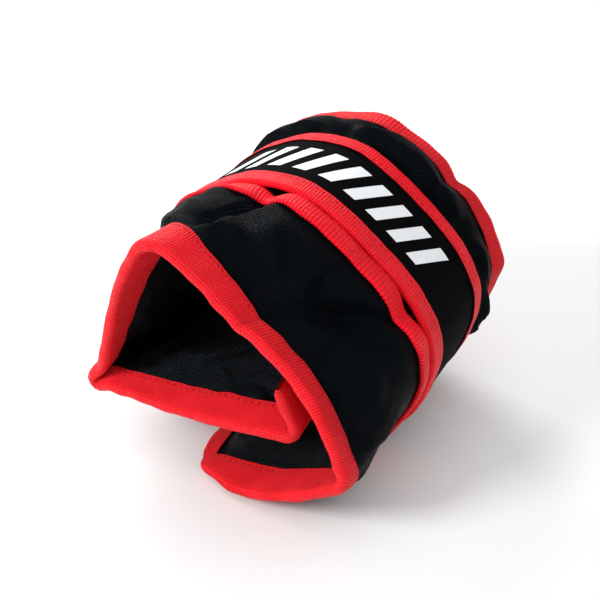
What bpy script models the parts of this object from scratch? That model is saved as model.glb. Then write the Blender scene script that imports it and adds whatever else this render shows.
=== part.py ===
"""Ankle cuff weight, rolled up and strapped.

A padded strip of five sand pockets and a short tail is rolled round the ankle,
one seam after another. A webbing strap, sewn to the strip's outer end, goes once
more round the roll and holds itself with a hook patch on a loop band.

Seen along +Y, the strip runs clockwise: tail, inner flap, left wall, top panel,
right wall, outer flap, and then the strap over the left wall, the top and the right.
Units are metres, +Z is up, and the origin is below the middle of the bounding box.
"""

import math

import bmesh
import bpy

MM = 0.001

# The roll's section: seam corners (x, z) of the strip's middle plane.
CENTRE_X = 4.17 * MM  # moves the section so that the box is centred on x = 0
CORNERS = {
    "tail_end": (19 * MM, 63 * MM),
    "C": (33 * MM, 37 * MM),
    "B": (-50 * MM, 32 * MM),
    "A": (-24 * MM, 95 * MM),
    "M": (30 * MM, 85 * MM),
    "E": (60 * MM, 22 * MM),
    "D": (-12 * MM, 4.2 * MM),
}
# Corners of the strap's middle line, outside the strip's own.
STRAP_CORNERS = {
    "D": (-15.5 * MM, 4.6 * MM),
    "B": (-62 * MM, 31 * MM),
    "A": (-38.5 * MM, 95 * MM),
    "M": (48 * MM, 90.5 * MM),
    "E": (67.5 * MM, 17 * MM),
    "tip": (49 * MM, 4.2 * MM),
}

WIDTH = 117 * MM  # the strip, near rim to far rim

# Cloth layers
COVER_THICK = 1.1 * MM
LINING_THICK = 1.0 * MM
SEAM_HALF = 1.3 * MM  # half the strip's thickness at a seam
MARGIN = 4 * MM  # flat seam allowance beside a seam
FILL_GAP = 2.6 * MM  # from the outer faces to the sand pouch
POUCH_INSET = 5 * MM
SLOPE_X = 13 * MM  # from a seam up to the pocket's full swell
SLOPE_Y = 17 * MM
TAIL_SLOPE = 3 * MM
SIDE_GAP = 0.3 * MM  # between pieces that lie side by side

# Edge binding: a tape folded round the strip's rims
TAPE_WIDTH = 12 * MM
TAPE_THICK = 0.9 * MM
TAPE_HALF = 2.15 * MM  # from the strip's middle plane to the tape's middle
TAPE_FOLD = 1.4 * MM  # the fold stands this far outside the cloth's edge
TAPE_TURN = 0.45  # how wide the fold's flat is, as a share of the tape's half height
RIM = TAPE_WIDTH + 1.5 * MM  # from a rim to where the pocket starts to swell
END_TAPE_GAP = 0.5 * MM  # from an end tape to the rim tapes beside it

# Loop band on the outer face, and the strap
BAND_Y = (-21.5 * MM, 26.5 * MM)
BAND_THICK = 1.5 * MM
BAND_GAP = 0.3 * MM
BAND_TAPE = 6.5 * MM
BAND_TAPE_GAP = 0.5 * MM
STRAP_Y = 8.5 * MM
STRAP_HALF_WIDTH = 22.3 * MM
STRAP_THICK = 1.5 * MM
STRAP_TAPE = 6.5 * MM
STRAP_TAPE_THICK = 0.7 * MM
STRAP_TAPE_HALF = 1.45 * MM
STRAP_TAPE_FOLD = 0.9 * MM
STRAP_POINTS = 9  # along each stretch
PATCH_THICK = 0.9 * MM
PATCH_INSET = 1 * MM  # from the strap's tape

# name, first corner, last corner, outward swell, inward swell
PANELS = [
    ("tail", "tail_end", "C", 5 * MM, 3 * MM),
    ("inner_flap", "C", "B", 8 * MM, 4 * MM),
    ("left_wall", "B", "A", 9 * MM, 5 * MM),
    ("top_panel", "A", "M", 12 * MM, 5 * MM),
    ("right_wall", "M", "E", 13 * MM, 5 * MM),
    ("outer_flap", "E", "D", 13 * MM, 5 * MM),
]
# Cloth stops this far from each seam corner, so that the folded layers stay apart.
SEAM_GAPS = {
    "tail_end": 1.4 * MM,
    "C": 4.3 * MM,
    "B": 4.9 * MM,
    "A": 2.8 * MM,
    "M": 2.0 * MM,
    "E": 3.9 * MM,
    "D": 1.6 * MM,
}
# name, first corner, last corner, outward bow, gap at each corner
STRAPS = [
    ("strap_root", "D", "B", 2 * MM, 0.8 * MM, 1.8 * MM),
    ("strap_left", "B", "A", 2 * MM, 1.8 * MM, 1.8 * MM),
    ("strap_top", "A", "M", 15.5 * MM, 1.8 * MM, 1.8 * MM),
    ("strap_right", "M", "E", 10 * MM, 1.8 * MM, 1.8 * MM),
    ("strap_tip", "E", "tip", 4 * MM, 1.8 * MM, 0),
]
# The pocket that stands on the ground is the root, and each other piece turns on
# the corner that is nearer to it along the strip.
ROOT = "outer_flap"
TAIL = "tail"

# Colour and roughness of each material
FINISHES = {
    "oxford_cover": ((0.008, 0.009, 0.011), 0.45),
    "nylon_lining": ((0.006, 0.006, 0.007), 0.4),
    "binding_tape": ((0.62, 0.008, 0.02), 0.6),
    "loop_pile": ((0.008, 0.009, 0.011), 0.95),
    "hook_patch": ((0.008, 0.009, 0.011), 0.9),
    "strap_web": ((0.008, 0.009, 0.011), 0.7),
    "sand_bag": ((0.55, 0.5, 0.42), 0.8),
}
# Where a pocket's cloth is cut, from the seam (0) to the top of its slope (1)
FINE_CUTS = (0, 0.25, 0.55, 1)
COARSE_CUTS = (0, 0.5, 1)
POUCH_CUTS = 4
FRAME_SIZE = 10 * MM


# ---------------------------------------------------------------- scene helpers
def clear_scene():
    for thing in list(bpy.data.objects):
        bpy.data.objects.remove(thing, do_unlink=True)


def material(name):
    made = bpy.data.materials.get(name)
    if made:
        return made
    colour, roughness = FINISHES[name]
    made = bpy.data.materials.new(name)
    made.use_nodes = True
    shader = made.node_tree.nodes["Principled BSDF"]
    shader.inputs["Base Color"].default_value = (*colour, 1)
    shader.inputs["Roughness"].default_value = roughness
    made.diffuse_color = (*colour, 1)
    return made


def add_to(parts, thing, frame, finish):
    parts.objects.link(thing)
    thing.parent = frame
    thing.data.materials.append(material(finish))
    thing.data.shade_smooth()


def body_frame(parts, name, corner, angle, parent):
    """An empty on the body's seam, turned so that its X runs along the strip."""
    frame = bpy.data.objects.new(name + "_frame", None)
    frame.empty_display_size = FRAME_SIZE
    parts.objects.link(frame)
    frame.location = (corner[0] - CENTRE_X, 0, corner[1])
    frame.rotation_euler = (0, angle, 0)
    if parent:
        bpy.context.view_layer.update()
        frame.parent = parent
        frame.matrix_parent_inverse = parent.matrix_world.inverted()
    return frame


def sheet(parts, name, frame, finish, rows, columns, place, thick, offset):
    """A grid of rows by columns, put in place point by point, and given thickness."""
    mesh = bpy.data.meshes.new(name)
    shape = bmesh.new()
    bmesh.ops.create_grid(shape, x_segments=rows - 1, y_segments=columns - 1, size=1)
    for point in shape.verts:
        i = round((point.co.x + 1) / 2 * (rows - 1))
        j = round((point.co.y + 1) / 2 * (columns - 1))
        point.co = place(i, j)
    shape.to_mesh(mesh)
    shape.free()
    thing = bpy.data.objects.new(name, mesh)
    add_to(parts, thing, frame, finish)
    solid = thing.modifiers.new("thickness", "SOLIDIFY")
    solid.thickness = thick
    solid.offset = offset
    solid.use_even_offset = True


# ---------------------------------------------------------------- pocket shape
def ramp(t):
    return math.sin(min(max(t, 0.0), 1.0) * math.pi / 2)


def stations(low, high, edge_low, edge_high, slope, steps):
    """Cuts across a pocket: both edges, the flat allowances, the slopes, the middle."""
    rising = [low + edge_low + slope * step for step in steps]
    falling = [high - edge_high - slope * step for step in reversed(steps)]
    return [low, *rising, (rising[-1] + falling[0]) / 2, *falling, high]


class Pocket:
    """One panel of the strip, in its own frame: x along the strip, z outward."""

    def __init__(self, name, first, last, swell_out, swell_in):
        self.name = name
        start, end = CORNERS[first], CORNERS[last]
        run = (end[0] - start[0], end[1] - start[1])
        self.length = math.hypot(*run)
        self.angle = math.atan2(-run[1], run[0])
        self.before_root = PANEL_ORDER[name] < PANEL_ORDER[ROOT]
        self.pivot = end if self.before_root else start
        self.shift = self.length if self.before_root else 0.0
        self.low, self.high = SEAM_GAPS[first], self.length - SEAM_GAPS[last]
        self.margin_first = RIM if name == TAIL else MARGIN
        self.margin_last = RIM if name == ROOT else MARGIN
        self.slope_x = TAIL_SLOPE if name == TAIL else SLOPE_X
        self.swell_out, self.swell_in = swell_out, swell_in

    def fullness(self, s, y):
        along = min(
            (s - self.low - self.margin_first) / self.slope_x,
            (self.high - self.margin_last - s) / self.slope_x,
        )
        across = (WIDTH / 2 - RIM - abs(y)) / SLOPE_Y
        return ramp(along) * ramp(across)

    def outer(self, s, y):
        """Height of the cover's outer face, flattened where the pocket meets the ground."""
        height = SEAM_HALF + (self.swell_out - SEAM_HALF) * self.fullness(s, y)
        if self.name == ROOT:
            down = -math.cos(self.angle)
            plane = self.pivot[1] - s * math.sin(self.angle)
            height = min(height, (plane - BAND_THICK) / down - BAND_GAP)
        return height

    def inner(self, s, y):
        return -SEAM_HALF - (self.swell_in - SEAM_HALF) * self.fullness(s, y)

    def cuts_s(self, steps):
        return stations(
            self.low, self.high, self.margin_first, self.margin_last, self.slope_x, steps
        )

    def cuts_y(self, steps):
        return stations(-WIDTH / 2, WIDTH / 2, RIM, RIM, SLOPE_Y, steps)


PANEL_ORDER = {row[0]: place for place, row in enumerate(PANELS)}


def make_skin(parts, pocket, frame, part_name, surface, finish, steps, thick, offset):
    cuts_s, cuts_y = pocket.cuts_s(steps), pocket.cuts_y(steps)

    def place(i, j):
        s, y = cuts_s[i], cuts_y[j]
        return s - pocket.shift, y, surface(s, y)

    name = f"{pocket.name}_{part_name}"
    sheet(parts, name, frame, finish, len(cuts_s), len(cuts_y), place, thick, offset)


def make_pouch(parts, pocket, frame):
    """The sewn bag of sand: a subdivided block, moulded to the hollow between the skins."""
    mesh = bpy.data.meshes.new(pocket.name)
    shape = bmesh.new()
    bmesh.ops.create_cube(shape, size=2)
    edges = shape.edges[:]
    bmesh.ops.subdivide_edges(shape, edges=edges, cuts=POUCH_CUTS, use_grid_fill=True)
    s_low = pocket.low + pocket.margin_first + POUCH_INSET
    s_high = pocket.high - pocket.margin_last - POUCH_INSET
    half_width = WIDTH / 2 - RIM - POUCH_INSET
    for point in shape.verts:
        s = (s_low + s_high) / 2 + point.co.x * (s_high - s_low) / 2
        y = point.co.y * half_width
        top = pocket.outer(s, y) - FILL_GAP
        bottom = pocket.inner(s, y) + FILL_GAP
        share = (point.co.z + 1) / 2
        point.co = (s - pocket.shift, y, bottom + share * (top - bottom))
    shape.to_mesh(mesh)
    shape.free()
    pouch = bpy.data.objects.new(f"{pocket.name}_sand_pouch", mesh)
    add_to(parts, pouch, frame, "sand_bag")


def tape_section(edge, inward, width, half, fold):
    """Half of a folded tape's outline, then the other: (across, outward) points."""
    leaf = edge + inward * width
    turn = edge - inward * fold
    return [
        (leaf, half),
        (edge, half),
        (turn, half * TAPE_TURN),
        (turn, -half * TAPE_TURN),
        (edge, -half),
        (leaf, -half),
    ]


def make_rim_binding(parts, pocket, frame, side):
    """Tape round the near (-1) or far (+1) rim of one panel."""
    section = tape_section(side * WIDTH / 2, -side, TAPE_WIDTH, TAPE_HALF, TAPE_FOLD)
    ends = (pocket.low - pocket.shift, pocket.high - pocket.shift)

    def place(i, j):
        return ends[i], section[j][0], section[j][1]

    name = f"{pocket.name}_{'near' if side < 0 else 'far'}_binding"
    sheet(parts, name, frame, "binding_tape", 2, len(section), place, TAPE_THICK, 0)


def make_end_binding(parts, pocket, frame, edge, inward):
    """Tape round a short end of the strip, between the two rim tapes."""
    section = tape_section(edge, inward, TAPE_WIDTH, TAPE_HALF, TAPE_FOLD)
    half = WIDTH / 2 - TAPE_WIDTH - END_TAPE_GAP
    ends = (-half, half)

    def place(i, j):
        return section[j][0] - pocket.shift, ends[i], section[j][1]

    name = f"{pocket.name}_end_binding"
    sheet(parts, name, frame, "binding_tape", 2, len(section), place, TAPE_THICK, 0)


def make_band(parts, pocket, frame):
    """Loop band sewn across the pocket, and the tape on its near edge."""
    cuts = pocket.cuts_s(FINE_CUTS)
    if pocket.name == ROOT:
        cuts = cuts[:-1]  # the end binding covers the rest
    middle = sum(BAND_Y) / 2

    def height(s):
        return pocket.outer(s, middle) + BAND_GAP

    def place_band(i, j):
        y = (BAND_Y[0] + BAND_TAPE, BAND_Y[1])[j]
        return cuts[i] - pocket.shift, y, height(cuts[i])

    def place_tape(i, j):
        y = (BAND_Y[0], BAND_Y[0] + BAND_TAPE - BAND_TAPE_GAP)[j]
        return cuts[i] - pocket.shift, y, height(cuts[i])

    pieces = (("loop_band", "loop_pile", place_band), ("band_binding", "binding_tape", place_tape))
    for piece, finish, place in pieces:
        name = f"{pocket.name}_{piece}"
        sheet(parts, name, frame, finish, len(cuts), 2, place, BAND_THICK, 1)


def make_panel(parts, row, parent):
    """One panel of the strip with all that is sewn to it. Gives back the panel's frame."""
    pocket = Pocket(*row)
    frame = body_frame(parts, pocket.name, pocket.pivot, pocket.angle, parent)
    skins = (
        ("cover", pocket.outer, "oxford_cover", FINE_CUTS, COVER_THICK, -1),
        ("lining", pocket.inner, "nylon_lining", COARSE_CUTS, LINING_THICK, 1),
    )
    for skin in skins:
        make_skin(parts, pocket, frame, *skin)
    for side in (-1, 1):
        make_rim_binding(parts, pocket, frame, side)
    if pocket.name == TAIL:
        make_end_binding(parts, pocket, frame, pocket.low, 1)
    else:
        make_pouch(parts, pocket, frame)
        make_band(parts, pocket, frame)
    if pocket.name == ROOT:
        make_end_binding(parts, pocket, frame, pocket.high, -1)
    return frame


# ---------------------------------------------------------------- strap
class StrapStretch:
    """One stretch of the strap between two corners, in its own frame: x along, z outward."""

    def __init__(self, name, first, last, bow, gap_first, gap_last):
        self.name = name
        self.start, end = STRAP_CORNERS[first], STRAP_CORNERS[last]
        run = (end[0] - self.start[0], end[1] - self.start[1])
        self.angle = math.atan2(-run[1], run[0])
        length = math.hypot(*run)
        self.line = []
        for step in range(STRAP_POINTS):
            x = gap_first + (length - gap_first - gap_last) * step / (STRAP_POINTS - 1)
            share = x / length
            slope = 4 * bow * (1 - 2 * share) / length
            size = math.hypot(1, slope)
            self.line.append((x, 4 * bow * share * (1 - share), -slope / size, 1 / size))

    def off_line(self, i, y, height):
        """A point at one cut, at y, and so far outward from the strap's middle."""
        x, z, normal_x, normal_z = self.line[i]
        return x + normal_x * height, y, z + normal_z * height


def make_web(parts, stretch, frame):
    half = STRAP_HALF_WIDTH - SIDE_GAP

    def place(i, j):
        return stretch.off_line(i, STRAP_Y + (-half, half)[j], 0)

    rows = len(stretch.line)
    sheet(parts, stretch.name + "_web", frame, "strap_web", rows, 2, place, STRAP_THICK, 0)


def make_strap_binding(parts, stretch, frame, side):
    """Tape round the near (-1) or far (+1) edge of one stretch."""
    edge = STRAP_Y + side * STRAP_HALF_WIDTH
    section = tape_section(edge, -side, STRAP_TAPE, STRAP_TAPE_HALF, STRAP_TAPE_FOLD)

    def place(i, j):
        return stretch.off_line(i, section[j][0], section[j][1])

    name = f"{stretch.name}_{'near' if side < 0 else 'far'}_binding"
    rows, columns = len(stretch.line), len(section)
    sheet(parts, name, frame, "binding_tape", rows, columns, place, STRAP_TAPE_THICK, 0)


def make_patch(parts, stretch, frame):
    """Hooks on the inner face of the strap's tip, between its bindings."""
    half = STRAP_HALF_WIDTH - STRAP_TAPE - PATCH_INSET
    inside = -(STRAP_THICK / 2 + SIDE_GAP)

    def place(i, j):
        return stretch.off_line(i, STRAP_Y + (-half, half)[j], inside)

    rows = len(stretch.line)
    sheet(parts, "hook_patch", frame, "hook_patch", rows, 2, place, PATCH_THICK, -1)


def make_strap(parts, row, parent):
    stretch = StrapStretch(*row)
    frame = body_frame(parts, stretch.name, stretch.start, stretch.angle, parent)
    make_web(parts, stretch, frame)
    for side in (-1, 1):
        make_strap_binding(parts, stretch, frame, side)
    if stretch.name == "strap_tip":
        make_patch(parts, stretch, frame)
    return frame


def main():
    clear_scene()
    parts = bpy.data.collections.new("ankle_cuff_weight")
    bpy.context.scene.collection.children.link(parts)
    root_frame = parent = None
    for row in reversed(PANELS):
        parent = make_panel(parts, row, parent)
        root_frame = root_frame or parent
    parent = root_frame
    for row in STRAPS:
        parent = make_strap(parts, row, parent)


main()
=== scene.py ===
"""Looks of the ankle cuff weight: cloth, bindings, strap, print, floor, light and camera.

Lengths are worked in millimetres and turned to metres when a mesh is made. The strip is a
sheet with two coordinates: u, millimetres along it from the tail's end, and y, across it.
"""

import math

import bpy
import numpy as np
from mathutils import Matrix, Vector, noise


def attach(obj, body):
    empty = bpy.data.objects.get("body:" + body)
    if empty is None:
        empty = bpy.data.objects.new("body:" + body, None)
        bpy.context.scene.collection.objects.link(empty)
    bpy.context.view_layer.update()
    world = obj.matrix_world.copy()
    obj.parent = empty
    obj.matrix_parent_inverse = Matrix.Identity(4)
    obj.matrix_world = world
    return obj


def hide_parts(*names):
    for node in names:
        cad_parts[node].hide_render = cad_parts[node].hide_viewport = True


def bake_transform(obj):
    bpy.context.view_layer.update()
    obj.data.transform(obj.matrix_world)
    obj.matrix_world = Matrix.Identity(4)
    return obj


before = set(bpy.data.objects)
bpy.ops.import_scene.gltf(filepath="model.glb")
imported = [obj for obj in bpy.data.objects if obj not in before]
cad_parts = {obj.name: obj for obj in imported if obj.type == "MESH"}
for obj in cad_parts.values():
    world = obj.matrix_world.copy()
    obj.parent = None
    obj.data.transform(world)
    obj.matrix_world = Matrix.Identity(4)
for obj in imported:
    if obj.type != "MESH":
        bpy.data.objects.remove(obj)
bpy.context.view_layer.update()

MM = 0.001
CENTRE_X = 4.17  # a section's x, less this, is the frame's x

# ---------- the strip's shape
STATIONS = np.array([-58.5, -46.5, -22.0, 8.5, 34.0, 46.5, 58.5])  # y across the strip
# Corners (x, z) of the section on each station, in the strip's order: the tail's end, then
# where tail, inner flap, left wall, top panel, right wall and outer flap meet, then the end
RAILS = np.array([
    [(30, 59), (37.5, 41), (-49, 32), (-17, 102), (17, 79), (54, 28), (-9, 4.5)],
    [(29, 61), (37, 43), (-50, 35), (-14, 103), (22, 77), (57, 28), (-11, 5.5)],
    [(21, 62), (34, 38.5), (-50, 33), (-21, 98), (28, 84), (54.5, 25), (-12, 5)],
    [(19, 63), (33, 37), (-50, 32), (-24, 95), (30, 85), (52, 24), (-12, 4.2)],
    [(19, 63), (33, 37), (-50, 32), (-27, 94), (33, 86), (53, 24), (-12, 4.2)],
    [(19, 63), (33, 38), (-51, 32), (-31, 93.5), (39, 88), (54, 26), (-12, 4.2)],
    [(19, 63), (33, 38), (-52, 32), (-34, 92), (43, 87), (55, 28), (-12, 4.2)],
], float)
# Outward bow of the middle sheet between corners, on the same stations
BOWS = np.array([
    # tail, inner flap, left wall, top panel, right wall, outer flap
    [0, 3, 4, 1, 8, 8],
    [0, 2, 2, 1, 5, 8],
    [0, 0, 2, 6, 6, 2],
    [0, 0, 3, 6, 6, 0],
    [0, 0, 3, 8, 8, 0],
    [0, 0, 4, 12, 10, 0],
    [0, 0, 5, 14.5, 12.5, 0],
], float)
CORNER_ROUND = [0, 6, 4, 8, 10, 4, 0]  # bend radius at each corner
BODIES = ["tail", "inner_flap", "left_wall", "top_panel", "right_wall", "outer_flap"]
LAST_PANEL = len(BODIES) - 1
LEFT_WALL = 2
SWELL_OUT = [4, 7, 5, 10, 12, 11]
SWELL_IN = [3, 5, 5, 5, 5, 6]
# How far each seam strays along the strip from its corner, on the stations
SEAM_STRAY = np.array([
    [0, 0, 0, 0, 0, 0, 0],
    [0, 0, 0, 4, 3, 0, 0],
    [0, 0, 0, 25, 22, 0, 0],
    [0, 0, 0, 27, 24, 0, 0],
    [0, 0, 0, 26, 20, 0, 0],
    [0, 0, 0, 24, 15, 0, 0],
    [0, 0, 0, 22, 13, 0, 0],
], float)
SEAM_HALF = 1.3  # half the thickness of the sewn strip at a seam
RIM_Y = 58.5
TAPE_WIDTH = 12.0  # of each leaf of the folded rim tape
TAPE_HALF = 1.8  # half the gap that the folded tape spans
TAPE_THICK = 0.8
# Share of the tape's width that lies on each side of the cloth, at each corner of a rim
COVER_SHARES = {
    "near": [1, 1, 0.9, 1, 0.5, 0.42, 0.9],
    "far": [1, 1, 0.8, 0.55, 0.42, 0.42, 0.8],
}
LINING_SHARES = {
    "near": [1, 1, 0.55, 1, 1, 1, 1],
    "far": [1, 1, 1, 1, 1, 1, 1],
}
# The strip narrows on its near side towards the outer end, where its corner is rounded
ROUNDED_LENGTH = 24.0
ROUNDED = 0.12
ROUNDED_TAPE = 0.7  # how much of the tape's width is gone at its tip there
END_SHARE = 0.45  # share of the tape's width that lies on the cloth across the outer end
DROOP_LENGTH = 12.0
DROOP = 2.4  # how far the outer end bends down over that length
KINK_STEPS = (-4, -2, 0, 2, 4)  # kinks at the stations are averaged over these steps in y


def across(table, y):
    """A table given on the stations, at y, with its kinks rounded over a few millimetres."""
    total = 0
    for step in KINK_STEPS:
        k = np.clip(np.searchsorted(STATIONS, y + step, side="right") - 1, 0, len(STATIONS) - 2)
        share = (y + step - STATIONS[k]) / (STATIONS[k + 1] - STATIONS[k])
        total = total + table[k] + (table[k + 1] - table[k]) * share
    return total / len(KINK_STEPS)


MIDDLE = RAILS[3]
PANEL_LENGTHS = np.linalg.norm(np.diff(MIDDLE, axis=0), axis=1)
CORNER_U = np.concatenate([[0], np.cumsum(PANEL_LENGTHS)])
STRIP_LENGTH = CORNER_U[-1]
# Folds that stand out at the rims: u, side (-1 near, 1 far), height, half length
RIM_FOLDS = [
    (CORNER_U[2], -1, 4.2, 3.0),
    (CORNER_U[3] + 31, 1, 2.2, 5.0),
    (CORNER_U[4] + 38, 1, 2.0, 6.0),
    (CORNER_U[5], -1, 1.5, 5.0),
]
FOLD_DEPTH = 14.0  # how far in from the rim they reach


def ramp(t):
    return np.sin(np.clip(t, 0, 1) * math.pi / 2)


def smooth(t):
    t = np.clip(t, 0, 1)
    return t * t * (3 - 2 * t)


def unit(v):
    return v / np.maximum(np.linalg.norm(v, axis=-1, keepdims=True), 1e-9)


def read_line(line, arc, us):
    """Points of a plane line at each u; arc holds the u of the line's own points."""
    return np.stack([np.interp(us, arc, line[:, i]) for i in (0, 1)], axis=1)


def grid_normals(points):
    """Outward unit normals of a grid whose first axis runs along u and second along y."""
    along = np.gradient(points, axis=0)
    side = np.gradient(points, axis=1)
    return unit(np.cross(along, side))


LINE_STEP = 0.5
LINE_MARGIN = 5  # how far the middle line runs on past the strip's ends
LINE_US = np.arange(-LINE_MARGIN, STRIP_LENGTH + LINE_MARGIN, LINE_STEP)
BLUR_REACH = 6
BLUR = np.hanning(2 * BLUR_REACH + 1)
BLUR = BLUR / BLUR.sum()
# Samples between which the line's direction at each end is read, counted from that end
END_RUN = (12, 20)
line_cache = {}


def strip_line(us, y):
    """The strip's middle line at one y, (x, z) for each u, with its kinks eased."""
    key = round(float(y), 4)
    if key not in line_cache:
        sharp = sharp_line(np.clip(LINE_US, 0, STRIP_LENGTH), y)
        over = (LINE_US - np.clip(LINE_US, 0, STRIP_LENGTH))[:, None]
        near, far = END_RUN
        first, last = unit(sharp[far] - sharp[near]), unit(sharp[-near] - sharp[-far])
        sharp = sharp + np.where(over < 0, over * first, over * last)
        droop = np.clip((LINE_US - STRIP_LENGTH + DROOP_LENGTH) / DROOP_LENGTH, 0, 1) ** 2
        sharp[:, 1] -= DROOP * droop
        padded = [np.pad(sharp[:, i], BLUR_REACH, mode="edge") for i in (0, 1)]
        line_cache[key] = np.stack([np.convolve(part, BLUR, "valid") for part in padded], axis=1)
    return read_line(line_cache[key], LINE_US, us)


def sharp_line(us, y):
    """The same line before easing: chords, bows and round corners."""
    corners, bows = across(RAILS, y), across(BOWS, y)
    panel = np.clip(np.searchsorted(CORNER_U, us, side="right") - 1, 0, LAST_PANEL)
    t = (us - CORNER_U[panel]) / PANEL_LENGTHS[panel]
    first, last = corners[panel], corners[panel + 1]
    length = np.linalg.norm(last - first, axis=1)
    run = (last - first) / length[:, None]
    out = np.stack([-run[:, 1], run[:, 0]], axis=1)
    line = first + (last - first) * t[:, None]
    # Both arches are 1 at their highest; the left wall's highest point lies nearer its top
    arch = np.where(panel == LEFT_WALL, 27 / 4 * t**2 * (1 - t), 4 * t * (1 - t))
    bowed = out * (bows[panel] * arch)[:, None]
    line = line + bowed
    for k in range(1, len(BODIES)):
        radius = CORNER_ROUND[k]
        into = unit(corners[k] - corners[k - 1])
        away = unit(corners[k + 1] - corners[k])
        before = (panel == k - 1) & ((1 - t) * length < radius)
        after = (panel == k) & (t * length < radius)
        signed = np.where(before, -(1 - t) * length, t * length)
        tau = ((signed + radius) / (2 * radius))[:, None]
        start, end = corners[k] - into * radius, corners[k] + away * radius
        curve = (1 - tau) ** 2 * start + 2 * tau * (1 - tau) * corners[k] + tau**2 * end
        near = (before | after)[:, None]
        line = np.where(near, curve + bowed, line)
    for at, side, height, half_length in RIM_FOLDS:
        depth = height * smooth((y * side - RIM_Y + FOLD_DEPTH) / FOLD_DEPTH)
        slope = unit(np.gradient(line, axis=0))
        away = np.stack([-slope[:, 1], slope[:, 0]], axis=1)
        line = line + away * (depth * np.exp(-((us - at) / half_length) ** 2))[:, None]
    return line


def to_tip(us):
    """0 up to where the outer end starts to narrow, and 1 at the end itself."""
    return np.clip((us - STRIP_LENGTH + ROUNDED_LENGTH) / ROUNDED_LENGTH, 0, 1) ** 2


def strip_middle(us, ys):
    """Points and outward normals of the strip's middle sheet."""
    lines = np.stack([strip_line(us, y) for y in ys], axis=1)
    narrowing = ROUNDED * to_tip(us)
    rows = ys[None, :] * np.where(ys[None, :] < 0, 1 - narrowing[:, None], 1)
    points = np.stack([lines[..., 0], rows, lines[..., 1]], axis=-1)
    return points, grid_normals(points)


SLOPE_U = 15.0  # how far from a seam the swell reaches its full height
END_SLOPE = 6.0  # the same at the outer end
SLOPE_Y = 13.0  # and in from the rim tape
MARGIN_U = 2.0  # flat margin on each side of a seam
BESIDE_TAPE = 1.0  # and beside the rim tape
# How deep the valley at each seam is, as a share of the swell, in the middle of the strip
VALLEYS = np.array([1, 1, 1, 0.3, 0.35, 1, 1])


def rim_share(us, word, shares):
    """The tape's width along the near or far rim, as a share of its full width."""
    share = np.interp(us, CORNER_U, shares[word])
    return share * (1 - ROUNDED_TAPE * to_tip(us)) if word == "near" else share


def pocket_heights(us, ys, swells, shares):
    """How far the cloth stands off the middle sheet, swollen between its seams."""
    heights = []
    for y in ys:
        seams = CORNER_U + across(SEAM_STRAY, y)
        seams[0] += TAPE_WIDTH
        seams[-1] -= TAPE_WIDTH * END_SHARE
        tape = TAPE_WIDTH * rim_share(us, "near" if y < 0 else "far", shares) + BESIDE_TAPE
        rim = ramp((RIM_Y - tape - abs(y)) / SLOPE_Y)
        pocket = np.clip(np.searchsorted(seams, us, side="right") - 1, 0, LAST_PANEL)
        inside = np.minimum(us - seams[pocket], seams[pocket + 1] - us) - MARGIN_U
        nearer = np.where(us - seams[pocket] < seams[pocket + 1] - us, pocket, pocket + 1)
        low = 1 - VALLEYS[nearer]
        slope = np.where(nearer == len(BODIES), END_SLOPE, SLOPE_U)
        full = (low + (1 - low) * ramp(inside / slope)) * rim
        swell = np.array(swells, float)[pocket]
        heights.append(SEAM_HALF + (swell - SEAM_HALF) * full)
    return np.stack(heights, axis=1)


# ---------- the strap's shape
STRAP_PATH = [
    (-11, 4.4), (-15.5, 4.8), (-38, 16.5), (-57, 28), (-61.5, 37), (-56.5, 54), (-48, 72),
    (-38.5, 86), (-29, 94.5), (-18.5, 100.5), (-7, 105), (6, 106.2), (18, 104), (31, 96.5),
    (44, 86.5), (56, 75), (63.5, 62), (65, 51), (63, 40), (59.5, 30), (54, 21.5), (47, 13.5), (39, 8),
]
STRAP_Y = 8.5
STRAP_HALF_WIDTH = 22.3
STRAP_TAPE = 6.5
STRAP_THICK = 1.5
SPLINE_SAMPLES = 40  # between two points of a path


def spline(points, step):
    """A smooth line through the points, with a point about every step."""
    p = np.array(points, float)
    p = np.vstack([2 * p[0] - p[1], p, 2 * p[-1] - p[-2]])
    out = []
    for k in range(1, len(p) - 2):
        a, b, c, d = p[k - 1], p[k], p[k + 1], p[k + 2]
        t = np.linspace(0, 1, SPLINE_SAMPLES, endpoint=False)[:, None]
        out.append(0.5 * ((2 * b) + (c - a) * t + (2 * a - 5 * b + 4 * c - d) * t**2
                          + (3 * b - a - 3 * c + d) * t**3))
    line = np.vstack(out + [p[-2][None]])
    arc = np.concatenate([[0], np.cumsum(np.linalg.norm(np.diff(line, axis=0), axis=1))])
    at = np.linspace(0, arc[-1], int(arc[-1] / step) + 1)
    return read_line(line, arc, at), arc[-1]


STRAP_LINE, STRAP_LENGTH = spline(STRAP_PATH, 0.5)
STRAP_ARC = np.linspace(0, STRAP_LENGTH, len(STRAP_LINE))
ROLL_CENTRE = np.array([0.0, 55.0])


def strap_middle(us, ys):
    """Points and outward normals of the strap's middle sheet."""
    line = read_line(STRAP_LINE, STRAP_ARC, us)
    shape = (len(us), len(ys))
    parts = (line[:, :1], ys, line[:, 1:])
    points = np.stack([np.broadcast_to(part, shape) for part in parts], axis=-1)
    return points, grid_normals(points)


def strap_u_near(x, z):
    """The strap's u where it passes nearest to a point of the section."""
    return STRAP_ARC[np.argmin(np.linalg.norm(STRAP_LINE - (x, z), axis=1))]


PRESSED = (-0.45, 1.9)  # angles round the roll, clockwise from straight up
PRESSED_FADE = 0.25
PRESS_REACH = 46.0  # on each side of the strap's middle
PRESS_FADE = 12.0
MOST_DRAWN = 8.0
BESIDE_STRAP = 2.4  # how much higher the cloth may stand just beside the strap
BESIDE_FROM, BESIDE_FADE = 0.5, 3.0
FREE_FROM, FREE_FADE, FREE_RISE = 7.0, 7.0, 30.0  # further out, nothing holds it back


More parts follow.
